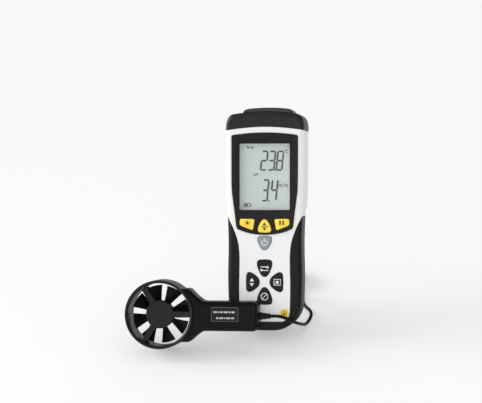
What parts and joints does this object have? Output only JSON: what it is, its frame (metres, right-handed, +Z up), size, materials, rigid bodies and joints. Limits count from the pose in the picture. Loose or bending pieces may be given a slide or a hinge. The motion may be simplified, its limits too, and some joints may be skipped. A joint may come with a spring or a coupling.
{
  "type": "vane anemometer",
  "caption": "Handheld air-speed meter leaning on its tilt stand, with a corded vane probe whose bladed rotor turns in a round duct in front of it.",
  "frame": {"origin": "on the table, under the middle of the box round the meter and the probe", "axes": "+Z up, +X to the right seen from the front, -Y toward the viewer; the meter leans back 28 degrees"},
  "size_m": [0.1634, 0.1637, 0.1919],
  "materials": {
    "white_plastic": "fine satin texture",
    "black_plastic": "satin",
    "boot_rubber": "matte, slight sheen",
    "cord_sheath": "satin",
    "yellow_rubber": "satin",
    "grey_rubber": "satin",
    "clear_plastic": "polished",
    "lcd_glass": "matte polariser",
    "circuit_board": "solder mask",
    "steel": "plated",
    "brass": "turned",
    "battery_can": "printed sleeve"
  },
  "bodies": {
    "meter": {"front_shell": "white_plastic", "rear_shell": "white_plastic", "rubber_boot": "boot_rubber", "top_cap": "black_plastic", "sensor_collar": "black_plastic", "ir_lens": "clear_plastic", "ir_sensor": "steel", "laser_window": "clear_plastic", "laser_module": "brass", "lcd_bezel": "black_plastic", "lcd_window": "clear_plastic", "lcd_panel": "lcd_glass", "backlight_panel": "lcd_glass", "main_board": "circuit_board", "key_membrane": "grey_rubber", "buzzer": "black_plastic", "face_badge": "yellow_rubber", "case_screw_1": "steel", "case_screw_2": "steel", "case_screw_3": "steel", "case_screw_4": "steel", "tripod_insert": "brass", "battery": "battery_can", "battery_snap": "black_plastic", "probe_socket": "black_plastic", "plug": "black_plastic", "plug_relief": "boot_rubber", "cord_lead": "cord_sheath", "cord_coil": "cord_sheath", "cord_tail": "cord_sheath", "cord_tie": "boot_rubber"},
    "probe": {"probe_shell_front": "black_plastic", "probe_shell_rear": "black_plastic", "probe_label": "grey_rubber", "vane_ring": "black_plastic", "front_spider": "black_plastic", "rear_spider": "black_plastic", "front_bearing": "brass", "rear_bearing": "brass", "pickup_board": "circuit_board", "probe_relief": "boot_rubber", "probe_screw_1": "steel", "probe_screw_2": "steel"},
    "rotor": {"rotor": "black_plastic", "rotor_shaft": "steel"},
    "tilt_stand": {"tilt_stand": "black_plastic"},
    "battery_cover": {"battery_cover": "white_plastic"},
    "yellow_key_left": {"yellow_key_left": "yellow_rubber"},
    "yellow_key_middle": {"yellow_key_middle": "yellow_rubber"},
    "yellow_key_right": {"yellow_key_right": "yellow_rubber"},
    "power_key": {"power_key": "grey_rubber"},
    "pad_key_top": {"pad_key_top": "black_plastic"},
    "pad_key_bottom": {"pad_key_bottom": "black_plastic"},
    "pad_key_left": {"pad_key_left": "black_plastic"},
    "pad_key_right": {"pad_key_right": "black_plastic"}
  },
  "joints": [
    {"name": "yellow_key_left_press", "type": "slide", "parent": "meter", "child": "yellow_key_left", "axis": [0, 0.8829, -0.4695], "range_m": [0, 0.0008], "stiffness_N_per_m": 300},
    {"name": "yellow_key_middle_press", "type": "slide", "parent": "meter", "child": "yellow_key_middle", "axis": [0, 0.8829, -0.4695], "range_m": [0, 0.0008], "stiffness_N_per_m": 300},
    {"name": "yellow_key_right_press", "type": "slide", "parent": "meter", "child": "yellow_key_right", "axis": [0, 0.8829, -0.4695], "range_m": [0, 0.0008], "stiffness_N_per_m": 300},
    {"name": "power_key_press", "type": "slide", "parent": "meter", "child": "power_key", "axis": [0, 0.8829, -0.4695], "range_m": [0, 0.0008], "stiffness_N_per_m": 300},
    {"name": "pad_key_top_press", "type": "slide", "parent": "meter", "child": "pad_key_top", "axis": [0, 0.8829, -0.4695], "range_m": [0, 0.0008], "stiffness_N_per_m": 300},
    {"name": "pad_key_bottom_press", "type": "slide", "parent": "meter", "child": "pad_key_bottom", "axis": [0, 0.8829, -0.4695], "range_m": [0, 0.0008], "stiffness_N_per_m": 300},
    {"name": "pad_key_left_press", "type": "slide", "parent": "meter", "child": "pad_key_left", "axis": [0, 0.8829, -0.4695], "range_m": [0, 0.0008], "stiffness_N_per_m": 300},
    {"name": "pad_key_right_press", "type": "slide", "parent": "meter", "child": "pad_key_right", "axis": [0, 0.8829, -0.4695], "range_m": [0, 0.0008], "stiffness_N_per_m": 300},
    {"name": "stand_fold", "type": "hinge", "parent": "meter", "child": "tilt_stand", "pos_m": [0.0433, 0.01562, 0.05129], "axis": [1, 0, 0], "range_deg": [-46, 0]},
    {"name": "battery_cover_open", "type": "hinge", "parent": "meter", "child": "battery_cover", "pos_m": [0.0433, -0.01299, 0.00535], "axis": [-1, 0, 0], "range_deg": [0, 40]},
    {"name": "probe_lift", "type": "slide", "parent": "meter", "child": "probe", "axis": [0, 0, 1], "range_m": [0, 0.08]},
    {"name": "rotor_spin", "type": "hinge", "parent": "probe", "child": "rotor", "pos_m": [-0.0499, -0.05527, 0.03384], "axis": [0, -0.8829, 0.4695], "continuous": true}
  ]
}
